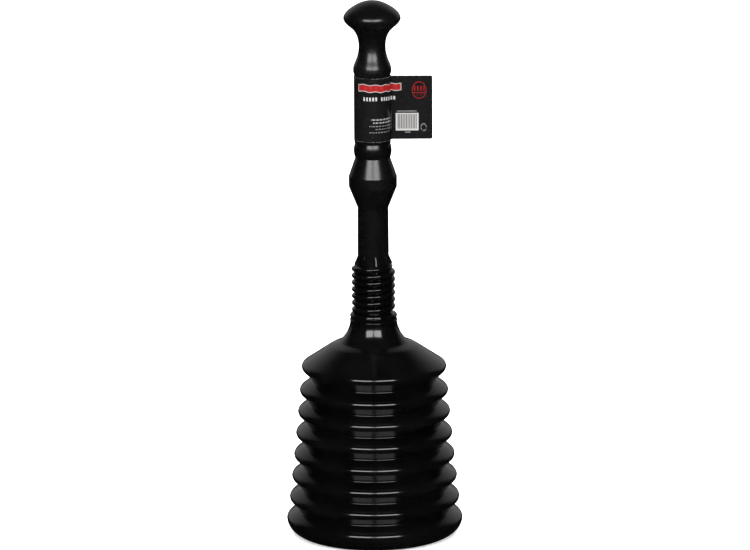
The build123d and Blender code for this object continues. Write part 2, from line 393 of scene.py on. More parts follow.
def top_outline():
    """The shoulder lobe, its crown, the flare, the collar and the neck up to its rounded rim."""
    lower = lower_edge(TOP_LOBE)
    centre, radius = crest_bend(TOP_LOBE)
    shoulder_start = along(centre, radius, 90 - SHOULDER_SLOPE)
    corner = crossing(lower, LOWER_WALL_SLOPE, shoulder_start, -SHOULDER_SLOPE)
    crown = crossing(shoulder_start, 180 - SHOULDER_SLOPE, (CROWN_RADIUS, 0), 90)
    foot = crossing(crown, 180 - CROWN_SLOPE, (FLARE_FOOT_RADIUS, 0), 90)
    flare_turn = 90 - FLARE_FOOT_SLOPE
    flare_bend = (FLARE_FOOT_RADIUS - FLARE_TOP_RADIUS) / (1 - cos(radians(flare_turn)))
    flare_centre = along(foot, flare_bend, flare_turn)
    outer = joined(
        rounded((lower, corner, crown, foot), (CREST_BEND, CROWN_BEND), steps=16),
        hollow_bend(flare_centre, flare_bend, 180 + flare_turn, 180, 72),
        rounded(
            (
                along(flare_centre, flare_bend, 180),
                (FLARE_TOP_RADIUS, COLLAR_TOP),
                (NECK_RADIUS, COLLAR_TOP + COLLAR_STEP),
                (NECK_RADIUS, NECK_TOP - BELLOWS_WALL / 2),
            ),
            (COLLAR_BEND, COLLAR_BEND),
            steps=4,
            spacing=NECK_ROW,
        ),
    )
    return wall_loop(outer, BELLOWS_WALL, round_end=True)


def handle_outline(inset):
    """The handle's turned outline upwards, or its hollow's when every wall is inset."""
    dome = along((DOME_RADIUS, DOME_HEIGHT), -inset, DOME_NORMAL)
    knob = (KNOB_RADIUS - inset, KNOB_WIDEST_HEIGHT)
    upper_bulge = (BULGE_RADIUS - inset, UPPER_BULGE_HEIGHT)
    grip_top = (GRIP_RADIUS - inset, GRIP_TOP)
    groove_start = (GROOVE_EDGE_RADIUS - inset, GRIP_BOTTOM)
    groove_end = (GROOVE_EDGE_RADIUS - inset, LOWER_GROOVE_HEIGHT)
    bulge = (BULGE_RADIUS - inset, LOWER_BULGE_HEIGHT)
    low = rounded(
        (
            (BLOW_HOLE_RADIUS, SPIGOT_BOTTOM + inset),
            (SPIGOT_RADIUS - inset, SPIGOT_BOTTOM + inset),
            (SPIGOT_RADIUS - inset, NECK_TOP),
            (SHAFT_RADIUS - inset, SHAFT_TOP),
            (BARREL_RADIUS - inset, BARREL_BOTTOM),
            (BARREL_RADIUS - inset, BARREL_TOP),
            groove_end,
        ),
        (SPIGOT_BEND - inset, BARREL_BEND, BARREL_BEND, BARREL_BEND, BARREL_BEND),
        spacing=0.4 if inset == 0 else 4.0,
    )
    swell = arc_through(groove_end, bulge, groove_start, 16)
    grip = [(GRIP_RADIUS - inset, z) for z in np.linspace(GRIP_BOTTOM + GRIP_STEP_BEND, GRIP_TOP, 9)]
    bulge_top = arc_through_radius(grip_top, upper_bulge, BULGE_BEND, 5)
    neck = smooth_curve(
        (
            upper_bulge,
            (SWELL_RADIUS - inset, SWELL_HEIGHT),
            (WAIST_RADIUS - inset, WAIST_HEIGHT),
            (COVE_RADIUS - inset, COVE_HEIGHT),
            knob,
        ),
        (0, 1),
        (0, 1),
    )
    crown = smooth_curve((knob, dome, (0, KNOB_TOP - inset)), (0, 1), (-1, 0), steps=20)
    points = [station[:2] for station in low]
    for stretch in (swell, grip, bulge_top, neck, crown):
        points += [point for point in stretch if dist(points[-1], point) > 1e-3]
    return faced(points, 1 if inset == 0 else 0)


def arc_through(start, middle, end, steps):
    """Points along the arc through three points, the middle one at the arc's widest."""
    half_chord = (end[1] - start[1]) / 2
    rise = middle[0] - start[0]
    radius = (half_chord**2 + rise**2) / (2 * rise)
    centre = (middle[0] - radius, middle[1])
    half_turn = degrees(atan2(half_chord, radius - rise))
    return [along(centre, radius, angle) for angle in np.linspace(-half_turn, half_turn, steps + 1)]


def arc_through_radius(start, end, radius, steps):
    """Points along the outward-bulging arc of a radius between two points, start below end."""
    chord = Vector(end) - Vector(start)
    middle = (Vector(start) + Vector(end)) / 2
    depth = sqrt(radius**2 - (chord.length / 2) ** 2)
    centre = middle + Vector((-chord.y, chord.x)).normalized() * depth
    first = degrees(atan2(start[1] - centre.y, start[0] - centre.x))
    last = degrees(atan2(end[1] - centre.y, end[0] - centre.x))
    return [along(centre, radius, angle) for angle in np.linspace(first, last, steps + 1)]


# --- Surface shapes, as millimetres pushed out of the wall ------------------------------------


def seam(azimuth, half_width):
    """The mould's parting line: a fine raised line on the left and right sides."""
    off = np.minimum(np.abs(azimuth), np.minimum(np.abs(azimuth - pi), np.abs(azimuth - 2 * pi)))
    return SEAM_RISE * np.exp(-((off / half_width) ** 2) * 2)


def wall_wave(azimuth, height):
    """The slight unevenness of a blown wall."""
    return WALL_WAVE * (
        np.sin(3 * azimuth + height / 19)
        + 0.7 * np.sin(5 * azimuth - height / 13 + 1)
        + 0.5 * np.sin(8 * azimuth + height / 7 + 2)
    )


def thread_ridge(azimuth, height, rise, half_width, bottom, turns, fade):
    """A right-handed thread's rounded ridge, starting at azimuth 0 and fading out at both ends."""
    climbed = (height - bottom) / THREAD_PITCH
    share = azimuth / (2 * pi)
    nearest = np.clip(np.round(climbed - share), 0, np.floor(turns - share)) + share
    off = np.abs(climbed - nearest) * THREAD_PITCH / half_width
    strength = np.clip(nearest / THREAD_START_FADE, 0, 1) * np.clip((turns - nearest) / fade, 0, 1)
    strength = strength * strength * (3 - 2 * strength)
    return rise * strength * np.clip(1 - off**THREAD_FLATNESS, 0, 1)


def beads(height):
    """The two beads round the collar."""
    rise = 0
    for bead in BEAD_HEIGHTS:
        rise = rise + BEAD_RISE * np.clip(1 - ((height - bead) / BEAD_HALF_WIDTH) ** 2, 0, 1)
    return rise


def bellows_relief(azimuth, radius, height, outer):
    """What is pushed out of the bellows' folds and rings."""
    return wall_wave(azimuth, height) + outer * seam(azimuth, BELLOWS_SEAM)


def base_relief(azimuth, radius, height, outer):
    """As the folds, but nothing at the seat, which stays flat."""
    calm = np.clip(height / 6, 0, 1)
    return calm * bellows_relief(azimuth, radius, height, outer)


def top_relief(azimuth, radius, height, outer):
    """The thread on the neck and the beads on the collar, besides the wall's own unevenness."""
    thread = thread_ridge(
        azimuth, height, RIDGE_RISE, RIDGE_HALF_WIDTH, THREAD_BOTTOM, THREAD_TURNS, THREAD_FADE
    )
    off_rim = (height - RIM_BEAD_HEIGHT) / RIM_BEAD_HALF_WIDTH
    rim_bead = RIM_BEAD_RISE * np.clip(1 - off_rim**2, 0, 1)
    thread = np.maximum(thread, outer * rim_bead)
    off_neck = np.clip(radius - NECK_RADIUS + BELLOWS_WALL * (1 - outer), 0, None)
    thread = np.clip(thread - off_neck, 0, None) * (height > COLLAR_TOP - COLLAR_STEP)
    on_collar = (radius > FLARE_TOP_RADIUS - 0.1) & (radius < FLARE_TOP_RADIUS + 2)
    width = np.where(radius > FLARE_FOOT_RADIUS, BELLOWS_SEAM, NECK_SEAM)
    calm = np.clip((radius - NECK_RADIUS) / 20, 0.1, 1)
    return (
        thread
        + beads(height) * on_collar * outer
        + calm * wall_wave(azimuth, height)
        + outer * seam(azimuth, width)
    )


def rib_share(azimuth):
    """From 0 between the ribs to 1 on a rib, with soft flanks."""
    spacing = 2 * pi / RIB_COUNT
    off = np.abs((azimuth - radians(RIB_TURN) + spacing / 2) % spacing - spacing / 2)
    flank = off * (SHAFT_RADIUS + RIB_REACH) / 2 / RIB_HALF_THICKNESS
    share = np.clip((1.2 - flank) / 0.4, 0, 1)
    return share * share * (3 - 2 * share)


def handle_relief(azimuth, radius, height, outer):
    """The ribs above the neck, the spigot's thread, and the parting line."""
    rib_edge = np.minimum(RIB_REACH, RIB_ROOT + (RIB_TOP - height) * RIB_LEAN)
    rib = np.clip(rib_edge - radius, 0, None) * rib_share(azimuth)
    rib = rib * ((height >= RIB_BOTTOM - 0.01) & (height < RIB_TOP))
    in_neck = (height < NECK_TOP) & (radius > SPIGOT_RADIUS - 0.1)
    thread = in_neck * thread_ridge(
        azimuth,
        height,
        SPIGOT_RIDGE_RISE,
        SPIGOT_RIDGE_HALF_WIDTH,
        SPIGOT_THREAD_BOTTOM,
        SPIGOT_THREAD_TURNS,
        SPIGOT_THREAD_FADE,
    )
    return outer * (rib + thread + seam(azimuth, HANDLE_SEAM) * (height > RIB_TOP))


# --- Meshes -----------------------------------------------------------------------------------


def azimuths(count, seam_width, extra=()):
    """Angles round the axis, even but for more at the parting line and at extra ones."""
    even = np.linspace(0, 2 * pi, count, endpoint=False)
    near = np.array((-2, -1.2, -0.6, 0, 0.6, 1.2, 2)) * seam_width
    close = np.concatenate((near % (2 * pi), near + pi, np.array(extra, float) % (2 * pi)))
    gap = np.abs((even[:, None] - close[None, :] + pi) % (2 * pi) - pi).min(1)
    return np.sort(np.concatenate((even[gap > pi / count / 2], close)))


def mesh_piece(name, vertices, faces, material, sharp=38.0):
    """A named piece from metre points and faces, smooth but for its sharp edges."""
    mesh = bpy.data.meshes.new(name)
    mesh.from_pydata([tuple(v) for v in vertices], [], faces)
    mesh.polygons.foreach_set("use_smooth", [True] * len(mesh.polygons))
    mesh.set_sharp_from_angle(angle=radians(sharp))
    mesh.materials.append(material)
    mesh.validate()
    piece = bpy.data.objects.new(name, mesh)
    bpy.context.scene.collection.objects.link(piece)
    return piece


def turned(name, loop, turns, relief, material):
    """A piece turned round the axis. Its loop is closed, or runs from pole to pole on the axis."""
    loop = np.array(loop, float)
    poles = loop[0, 0] < 1e-6
    count = len(turns)
    azimuth = np.broadcast_to(turns, (len(loop), count))
    radius = np.repeat(loop[:, :1], count, axis=1)
    height = np.repeat(loop[:, 1:2], count, axis=1)
    push = relief(azimuth, radius, height, loop[:, 3:4])
    facing = np.radians(loop[:, 2:3])
    radius = radius + push * np.cos(facing)
    height = height + push * np.sin(facing)
    points = np.stack((radius * np.cos(azimuth), radius * np.sin(azimuth), height), -1) * MM
    rows = len(loop)
    if poles:
        inner_rows = points[1:-1].reshape(-1, 3)
        vertices = np.vstack((points[0, :1] * (0, 0, 1), inner_rows, points[-1, :1] * (0, 0, 1)))
        first = 1
        rows -= 2
    else:
        vertices = points.reshape(-1, 3)
        first = 0
    faces = []
    for i in range(rows if not poles else rows - 1):
        low = first + i * count
        high = first + (i + 1) % rows * count
        faces += [(low + j, low + (j + 1) % count, high + (j + 1) % count, high + j) for j in range(count)]
    if poles:
        last = len(vertices) - 1
        top = last - count
        faces += [(0, 1 + (j + 1) % count, 1 + j) for j in range(count)]
        faces += [(top + j, top + (j + 1) % count, last) for j in range(count)]
    return mesh_piece(name, vertices, faces, material)


# --- Materials --------------------------------------------------------------------------------

PLASTIC_IOR = 1.38
FILM_IOR = 1.36
DUST = (0.012, 0.012, 0.0115, 1)
BELLOWS_DARK = (0.0008, 0.0008, 0.00085, 1)
BELLOWS_LIGHT = (0.0018, 0.0018, 0.0018, 1)
HANDLE_DARK = (0.001, 0.001, 0.0011, 1)
HANDLE_LIGHT = (0.0022, 0.0022, 0.0022, 1)
FILM_DARK = (0.0025, 0.0025, 0.0027, 1)
FILM_LIGHT = (0.0045, 0.0045, 0.0048, 1)

class Look:
    """A new material, with short ways to add nodes to it."""

    def __init__(self, name):
        self.material = bpy.data.materials.new(name)
        self.material.use_nodes = True
        self.nodes = self.material.node_tree.nodes
        self.links = self.material.node_tree.links
        self.shader = self.nodes["Principled BSDF"]

    def add(self, kind, settings=(), **inputs):
        """A node with its settings, its inputs given as numbers, colours or sockets."""
        node = self.nodes.new("ShaderNode" + kind)
        for key, value in dict(settings).items():
            setattr(node, key, value)
        for key, value in inputs.items():
            name = key.replace("_", " ")
            socket = node.inputs[int(key[1:])] if key[0] == "i" and key[1:].isdigit() else node.inputs[name]
            self.feed(socket, value)
        return node

    def feed(self, socket, value):
        """Links or sets one input."""
        if isinstance(value, bpy.types.NodeSocket):
            self.links.new(value, socket)
        else:
            socket.default_value = value

    def math(self, operation, a, b=0.0, c=0.0):
        """The result of one sum."""
        return self.add("Math", {"operation": operation}, i0=a, i1=b, i2=c).outputs[0]

    def mix(self, share, a, b):
        """A colour between two colours."""
        node = self.nodes.new("ShaderNodeMix")
        node.data_type = "RGBA"
        self.feed(node.inputs["Factor"], share)
        self.feed([s for s in node.inputs if s.name == "A" and s.type == "RGBA"][0], a)
        self.feed([s for s in node.inputs if s.name == "B" and s.type == "RGBA"][0], b)
        return [s for s in node.outputs if s.type == "RGBA"][0]

    def noise(self, where, scale, detail=2.0, stretch=None):
        """Noise from 0 to 1 at a scale per metre, over where it is read."""
        if stretch:
            where = self.add("Mapping", Vector=where, Scale=stretch).outputs[0]
        return self.add("TexNoise", Vector=where, Scale=scale, Detail=detail).outputs["Fac"]

    def ranged(self, value, low, high, new_low, new_high):
        """A value taken from one range to another and kept within it."""
        return self.add("MapRange", i0=value, i1=low, i2=high, i3=new_low, i4=new_high).outputs[0]

    def bumped(self, *layers):
        """Feeds the shader's normal with layers of (height, depth in metres)."""
        normal = None
        for height, depth in layers:
            node = self.add("Bump", Strength=1.0, Distance=depth, Height=height)
            if normal is not None:
                self.links.new(normal, node.inputs["Normal"])
            normal = node.outputs["Normal"]
        self.links.new(normal, self.shader.inputs["Normal"])

    def object_place(self):
        """Where each point lies, in metres."""
        return self.add("TexCoord").outputs["Object"]


def plastic(name, dark, light, roughness, spread, grain_scale, grain_depth, wave_depth):
    """Black moulded plastic: cloudy tone, fine dust, uneven gloss, scratches and a moulded skin.

    The grain's scale is per metre, and both depths are in metres."""
    look = Look(name)
    where = look.object_place()
    cloud = look.noise(where, 38, 3)
    fine = look.noise(where, 420, 4)
    scratch_a = look.noise(where, 150, 3, (1, 1, 14))
    scratch_b = look.noise(where, 170, 3, (9, 1, 1.4))
    scratch_a = look.ranged(scratch_a, 0.64, 0.7, 0, 1)
    scratch_b = look.ranged(scratch_b, 0.66, 0.72, 0, 1)
    scratches = look.math("MAXIMUM", scratch_a, scratch_b)
    tone = look.mix(look.ranged(cloud, 0.3, 0.7, 0, 1), dark, light)
    dust_place = look.ranged(look.noise(where, 900, 2), 0.7, 0.76, 0, 0.15)
    dust = look.math("MULTIPLY", dust_place, look.ranged(cloud, 0.5, 0.65, 0, 1))
    look.links.new(look.mix(dust, tone, DUST), look.shader.inputs["Base Color"])
    gloss = look.ranged(fine, 0.3, 0.7, roughness - spread, roughness + spread)
    uneven = look.ranged(cloud, 0.3, 0.7, -spread, spread)
    worn = look.math("MULTIPLY", scratches, 0.04)
    rough = look.math("ADD", look.math("ADD", gloss, uneven), worn)
    look.links.new(rough, look.shader.inputs["Roughness"])
    look.shader.inputs["IOR"].default_value = PLASTIC_IOR
    look.bumped(
        (look.noise(where, 24, 1), wave_depth),
        (look.noise(where, grain_scale, 2), grain_depth),
        (scratches, -0.000001),
    )
    return look.material


# Printed blocks on the label, in millimetres: u runs round the sleeve from its front middle and
# on along the flag, v runs up from the label's lower edge.
RED = (0.2, 0.007, 0.008, 1)
PALE = (0.26, 0.255, 0.25, 1)
BADGE_RED = (0.12, 0.0045, 0.005, 1)
DARK_RED = (0.05, 0.006, 0.006, 1)
BAR_BLACK = (0.02, 0.02, 0.02, 1)
BAND_OUTER = (-13.2, 44.5, 33.0, 51.1)
BAND_INNER = (-12.6, 45.1, 32.4, 50.5)
BAND_LEAN = -0.045
TITLE_LOW, TITLE_HIGH = 36.3, 39.5
TITLE_RUNS = ((-8.0, 4.8, 0.0), (6.8, 28.5, -0.08))
SMALL_LINES = ((-1.5, 22.5), (0.5, 22.5), (-3, 22.5), (2, 22.5), (-2.5, 18.5))
SMALL_LINE_TOP = 19.3
SMALL_LINE_PITCH = 2.75
FOLD_LINE = (23.3, 9.0, 23.7, 25.5)
BADGE_CENTRE = (48.3, 43.0)
BADGE_RADII = (6.0, 7.2)
BADGE_BAR = (42.3, 40.3, 54.3, 41.1)
BADGE_MARKS = (43.6, 42.3, 53.0, 46.6)
BADGE_FINE_MARKS = (45, 38.3, 51.6, 39.4)
BARS_LOW, BARS_HIGH = (28.0, 7.5), (47.7, 22.9)
GREY_RING_CENTRE = (52.1, 10.4)
GREY_RING_RADII = (2.3, 3.0)


def label_print(look, u, v, film):
    """The film's colour with generic printed blocks: a wavy band, bars, a badge and a panel."""
    colour = film

    def block(u0, v0, u1, v1, soft=0.12, lean=0.0, lift=None):
        """A filled rectangle, which may lean or follow a lifted edge."""
        rise = v if lift is None else look.math("SUBTRACT", v, lift)
        if lean:
            along_block = look.math("SUBTRACT", u, u0)
            rise = look.math("SUBTRACT", rise, look.math("MULTIPLY", along_block, lean))
        across = look.math("ABSOLUTE", look.math("SUBTRACT", u, (u0 + u1) / 2))
        up = look.math("ABSOLUTE", look.math("SUBTRACT", rise, (v0 + v1) / 2))
        inside_u = look.ranged(across, (u1 - u0) / 2 - soft, (u1 - u0) / 2 + soft, 1, 0)
        inside_v = look.ranged(up, (v1 - v0) / 2 - soft, (v1 - v0) / 2 + soft, 1, 0)
        return look.math("MULTIPLY", inside_u, inside_v)

    def both(a, b):
        """Where both shares are full."""
        return look.math("MULTIPLY", a, b)

    def ring(centre_u, centre_v, radius_u, radius_v, stroke):
        """An oval's line and the area inside it."""
        x = look.math("DIVIDE", look.math("SUBTRACT", u, centre_u), radius_u)
        y = look.math("DIVIDE", look.math("SUBTRACT", v, centre_v), radius_v)
        squares = look.math("ADD", look.math("MULTIPLY", x, x), look.math("MULTIPLY", y, y))
        away = look.math("SQRT", squares)
        off = look.math("ABSOLUTE", look.math("SUBTRACT", away, 1))
        return look.ranged(off, stroke * 0.7, stroke * 1.3, 1, 0), look.ranged(away, 0.97, 1.0, 1, 0)

    # Wavy band across the fold, pale outside and red inside.
    wave = look.math("MULTIPLY", look.math("SINE", look.math("MULTIPLY", u, 0.62)), 0.4)
    band = block(*BAND_OUTER, lean=BAND_LEAN, lift=wave)
    core = block(*BAND_INNER, lean=BAND_LEAN, lift=wave)
    cuts = look.ranged(look.math("SINE", look.math("MULTIPLY", u, 1.28)), 0.86, 0.95, 0, 0.8)
    colour = look.mix(both(band, 0.85), colour, PALE)
    colour = look.mix(core, colour, look.mix(cuts, RED, DARK_RED))
    # Title bar in two lengths under the band, broken by a gap.
    for u0, u1, lean in TITLE_RUNS:
        dashes = look.ranged(look.math("SINE", look.math("MULTIPLY", u, 2.4)), -0.4, -0.1, 0.0, 1)
        title = block(u0, TITLE_LOW, u1, TITLE_HIGH, lean=lean)
        colour = look.mix(both(title, dashes), colour, PALE)
    # Small lines low on the sleeve's right side, and the upright line at the fold.
    for k, (u0, u1) in enumerate(SMALL_LINES):
        v0 = SMALL_LINE_TOP - SMALL_LINE_PITCH * k
        beat = look.math("SINE", look.math("MULTIPLY", u, 1.9 + 0.13 * k))
        blocks = look.math("ADD", beat, look.math("SINE", look.math("MULTIPLY", u, 5.1 - 0.2 * k)))
        dots = look.ranged(blocks, -0.6, 0.2, 0, 0.75 if k < 2 else 0.4)
        tall = 1.25 if k < 2 else 0.9
        colour = look.mix(both(block(u0, v0, u1, v0 + tall, lean=-0.01), dots), colour, PALE)
    colour = look.mix(both(block(*FOLD_LINE), 0.3), colour, PALE)
    # Red ring badge with a bar across it.
    edge, inside = ring(*BADGE_CENTRE, *BADGE_RADII, 0.06)
    bar = block(*BADGE_BAR)
    marks = look.ranged(look.math("SINE", look.math("MULTIPLY", u, 2.3)), -0.2, 0.2, 0, 1)
    fine_marks = look.ranged(look.math("SINE", look.math("MULTIPLY", u, 5)), 0, 0.4, 0, 0.5)
    broad_blocks = both(block(*BADGE_MARKS), marks)
    fine_blocks = both(block(*BADGE_FINE_MARKS), fine_marks)
    blocks = look.math("MAXIMUM", broad_blocks, fine_blocks)
    colour = look.mix(edge, colour, BADGE_RED)
    colour = look.mix(both(look.math("MAXIMUM", bar, blocks), inside), colour, BADGE_RED)
    # Pale panel with dark upright bars, and a thin line above and below it.
    (u0, v0), (u1, v1) = BARS_LOW, BARS_HIGH
    colour = look.mix(block(u0, v0, u1, v1), colour, PALE)
    broad = look.math("SINE", look.math("MULTIPLY", u, 2.9))
    narrow = look.math("SINE", look.math("MULTIPLY", u, 7.7))
    chance = look.math("ADD", look.math("MULTIPLY", broad, 0.7), narrow)
    bars = both(look.ranged(chance, -0.25, 0.1, 0, 0.95), block(u0 + 1.4, v0 + 1.7, u1 - 1.4, v1 - 0.9))
    colour = look.mix(bars, colour, BAR_BLACK)
    for a, b, c in ((u0 + 1, u1 - 1.5, v1 + 1.3), (u0 + 8, u1 - 7, v0 - 1.8)):
        dots = look.ranged(look.noise(u_only(look, u), 2.1, 2), 0.4, 0.5, 0.1, 0.6)
        colour = look.mix(both(block(a, c, b, c + 0.7), dots), colour, PALE)
    # Small grey broken ring.
    edge, _ = ring(*GREY_RING_CENTRE, *GREY_RING_RADII, 0.2)
    on_label = look.add("CombineXYZ", X=u, Y=v).outputs[0]
    gaps = look.ranged(look.noise(on_label, 0.45, 0), 0.42, 0.5, 0.1, 1)
    colour = look.mix(both(both(edge, gaps), 0.3), colour, PALE)
    return colour


def u_only(look, u):
    """A place to read noise that changes only round the label."""
    return look.add("CombineXYZ", X=u).outputs[0]


def label_film():
    """Glossy printed film, with its print, faint creases and rubbed edges."""
    look = Look("label_film")
    place = look.add("SeparateXYZ", Vector=look.add("UVMap", {"uv_map": "strip"}).outputs[0])
    u = look.math("MULTIPLY", place.outputs["X"], UV_MILLIMETRES)
    v = look.math("MULTIPLY", place.outputs["Y"], UV_MILLIMETRES)
    where = look.object_place()
    cloud = look.noise(where, 60, 3)
    film = look.mix(cloud, FILM_DARK, FILM_LIGHT)
    colour = label_print(look, u, v, film)
    from_edge = look.math("MINIMUM", v, look.math("SUBTRACT", LABEL_TALL, v))
    rubbed_edge = look.ranged(from_edge, 0, 0.5, 0.5, 0)
    broken = look.ranged(look.noise(where, 700, 3), 0.45, 0.62, 0, 1)
    rubbed = look.math("MULTIPLY", rubbed_edge, broken)
    colour = look.mix(rubbed, colour, (0.3, 0.3, 0.3, 1))
    look.links.new(colour, look.shader.inputs["Base Color"])
    rough = look.ranged(look.noise(where, 300, 3), 0.3, 0.7, 0.2, 0.28)
    look.links.new(rough, look.shader.inputs["Roughness"])
    look.shader.inputs["IOR"].default_value = FILM_IOR
    creases = look.ranged(look.noise(where, 90, 2, (1, 1, 0.35)), 0.58, 0.72, 0, 1)
    look.bumped(
        (look.noise(where, 45, 1), 0.0006),
        (creases, 0.00015),
        (look.noise(where, 2600, 2), 0.000008),
    )
    return look.material


def film_edge():
    """The film's cut edge, paler than its printed faces."""
    look = Look("label_film_edge")
    where = look.object_place()
    tone = look.mix(look.noise(where, 800, 2), (0.06, 0.06, 0.06, 1), (0.2, 0.2, 0.2, 1))
    look.links.new(tone, look.shader.inputs["Base Color"])
    rough = look.ranged(look.noise(where, 900, 2), 0.3, 0.7, 0.5, 0.7)
    look.links.new(rough, look.shader.inputs["Roughness"])
    return look.material


# --- Label ------------------------------------------------------------------------------------

LABEL_LOW, LABEL_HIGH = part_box("grip_label")
LABEL_TALL = (LABEL_HIGH.z - LABEL_LOW.z) / MM


def label_path():
    """The film's middle line from above: the front layer's tip, round the grip, the back's tip.

    Each station is (x, y, the angle that the printed side faces, length along the strip)."""
    middle = GRIP_RADIUS + FILM_OFF_GRIP + FILM / 2
    tip = LABEL_HIGH.x / MM
    layer = FILM / 2 + FILM_GAP / 2
    centre_y = -layer - FLAG_ROOT_BEND
    centre_x = sqrt((middle + FLAG_ROOT_BEND) ** 2 - centre_y**2)
    root = degrees(atan2(-centre_y, centre_x))
    stations = [(x, -layer, -90) for x in np.linspace(tip, centre_x, 48)]
    for angle in np.linspace(90, 180 - root, 8)[1:]:
        stations.append((*along((centre_x, centre_y), FLAG_ROOT_BEND, angle), angle - 180))
    for angle in np.linspace(-root, -180, 64)[1:]:
        stations.append((*along((0, 0), middle, angle), angle))
    back = [(x, -y, -facing) for x, y, facing in stations[-2::-1]]
    return stations + back


def label_piece(material, edge_material):
    """The label: one strip of film round the grip, its two ends stuck together as the flag."""
    path = label_path()
    points = np.array([(x, y) for x, y, _ in path])
    facing = np.radians([angle for _, _, angle in path])
    steps = np.linalg.norm(np.diff(points, axis=0), axis=1)
    length = np.concatenate(([0], np.cumsum(steps)))
    front = int(np.argmin(np.abs(points[:, 0]) + np.where(points[:, 1] < 0, 0, 100)))
    unrolled = length[front] - length
    tip = points[0, 0]
    rows = LABEL_ROWS
    share = np.linspace(0, 1, rows)
    flag = np.clip((points[:, 0] - FLAG_ROOT) / (tip - FLAG_ROOT), 0, 1)[:, None]
    into_corner = np.clip(points[:, 0] - tip + FLAG_CORNER, 0, None)
    inset = FLAG_CORNER - np.sqrt(np.clip(FLAG_CORNER**2 - into_corner**2, 0, None))
    low = LABEL_LOW.z / MM + inset
    high = LABEL_HIGH.z / MM - inset
    height = low[:, None] + (high - low)[:, None] * share
    curl = flag * (0.35 * np.sin(share * pi * 1.3 + 0.4) + 0.3 * np.sin(flag * 4 + share * 2)) * flag
    slack = 1 - np.clip((points[:, 0] - LOOSE_FULL) / (LOOSE_END - LOOSE_FULL), 0, 1)[:, None]
    loose = FILM_LOOSENESS * slack * (1 + np.sin(unrolled[:, None] * 0.21 + share * 3))
    sides = []
    for side in (1, -1):
        out = side * FILM / 2 + loose
        x = points[:, 0][:, None] + out * np.cos(facing)[:, None]
        y = points[:, 1][:, None] + out * np.sin(facing)[:, None] + curl
        sides.append(np.stack((x, y, height), -1))
    count = len(path)
    vertices = np.concatenate([side.reshape(-1, 3) for side in sides]) * MM
    back = count * rows

    def at(i, j):
        return i * rows + j

    printed = []
    edges = []
    for i in range(count - 1):
        for j in range(rows - 1):
            quad = (at(i, j), at(i, j + 1), at(i + 1, j + 1), at(i + 1, j))
            printed.append(quad)
            printed.append(tuple(back + k for k in quad[::-1]))
        for j, flip in ((0, False), (rows - 1, True)):
            quad = (at(i, j), at(i + 1, j), back + at(i + 1, j), back + at(i, j))
            edges.append(quad[::-1] if flip else quad)
    for i, flip in ((0, True), (count - 1, False)):
        for j in range(rows - 1):
            quad = (at(i, j), at(i, j + 1), back + at(i, j + 1), back + at(i, j))
            edges.append(quad[::-1] if flip else quad)
    piece = mesh_piece("plunger_label", vertices, printed + edges, material, sharp=60)
    mesh = piece.data
    mesh.materials.append(edge_material)
    mesh.polygons.foreach_set("material_index", [0] * len(printed) + [1] * len(edges))
    strip = mesh.uv_layers.new(name="strip")
    u = np.tile(np.repeat(unrolled, rows), 2)
    v = np.tile((height - LABEL_LOW.z / MM).ravel(), 2)
    corner = np.zeros(len(mesh.loops), int)
    mesh.loops.foreach_get("vertex_index", corner)
    strip.data.foreach_set("uv", np.stack((u[corner], v[corner]), -1).ravel() / UV_MILLIMETRES)
    return piece


# --- Pieces -----------------------------------------------------------------------------------


def build_bellows(material):
    """The moulded bellows: base, rings, folds and threaded top, one look all over."""
    turns = azimuths(224, BELLOWS_SEAM)
    loop = base_outline()
    base = turned("plunger_base", loop, turns, base_relief, material)
    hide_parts("bellows_base")
    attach(base, "base")
    for lobe in range(1, TOP_LOBE):
        loop = ring_outline(lobe)
        ring = turned(f"plunger_ring_{lobe}", loop, turns, bellows_relief, material)
        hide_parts(f"bellows_ring_{lobe}")
        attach(ring, f"ring_{lobe}")
    for fold in range(1, TOP_LOBE + 1):
        loop = fold_outline(fold)
        piece = turned(f"plunger_fold_{fold}", loop, turns, bellows_relief, material)
        start = (0, 0, upper_edge(fold - 1)[1] * MM)
        end = (0, 0, lower_edge(fold)[1] * MM)
        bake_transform(piece)
        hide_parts(f"bellows_fold_{fold}")
    loop = top_outline()
    top = turned("plunger_top", loop, turns, top_relief, material)
    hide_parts("bellows_top")
    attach(top, "top")


def build_handle(material):
    """The hollow handle, from the top of its hollow down through the blow hole and up outside."""
    rib_flanks = np.array((-1.3, -1.05, -0.9, -0.75, 0, 0.75, 0.9, 1.05, 1.3))
    flank_turns = rib_flanks * RIB_HALF_THICKNESS / ((SHAFT_RADIUS + RIB_REACH) / 2)
    ribs = [radians(RIB_TURN) + rib * 2 * pi / RIB_COUNT for rib in range(RIB_COUNT)]
    turns = azimuths(128, HANDLE_SEAM, [rib + flank for rib in ribs for flank in flank_turns])
    inner = handle_outline(HANDLE_WALL)[::-1]
    outer = handle_outline(0)
    handle = turned("plunger_handle", inner + outer, turns, handle_relief, material)
    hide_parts("handle")
    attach(handle, "top")


def build_label():
    """The printed label on the grip."""
    label = label_piece(label_film(), film_edge())
    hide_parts("grip_label")
    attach(label, "top")


# --- Studio -----------------------------------------------------------------------------------

# Floor, in metres.
FLOOR_REACH = 14.0
FLOOR_DROP = 0.0001
FLOOR_GLOW = 0.55

# Surroundings: how far back the pale part starts and is full, and how it fades below, as shares
# of the direction looked in.
BACK_START = 0.4
BACK_FULL = 0.85
FRONT_GLOW = 0.003
BACK_GLOW = 0.42
UNDER_SHARE = 0.03
UNDER_START = -0.06
UNDER_END = 0.04

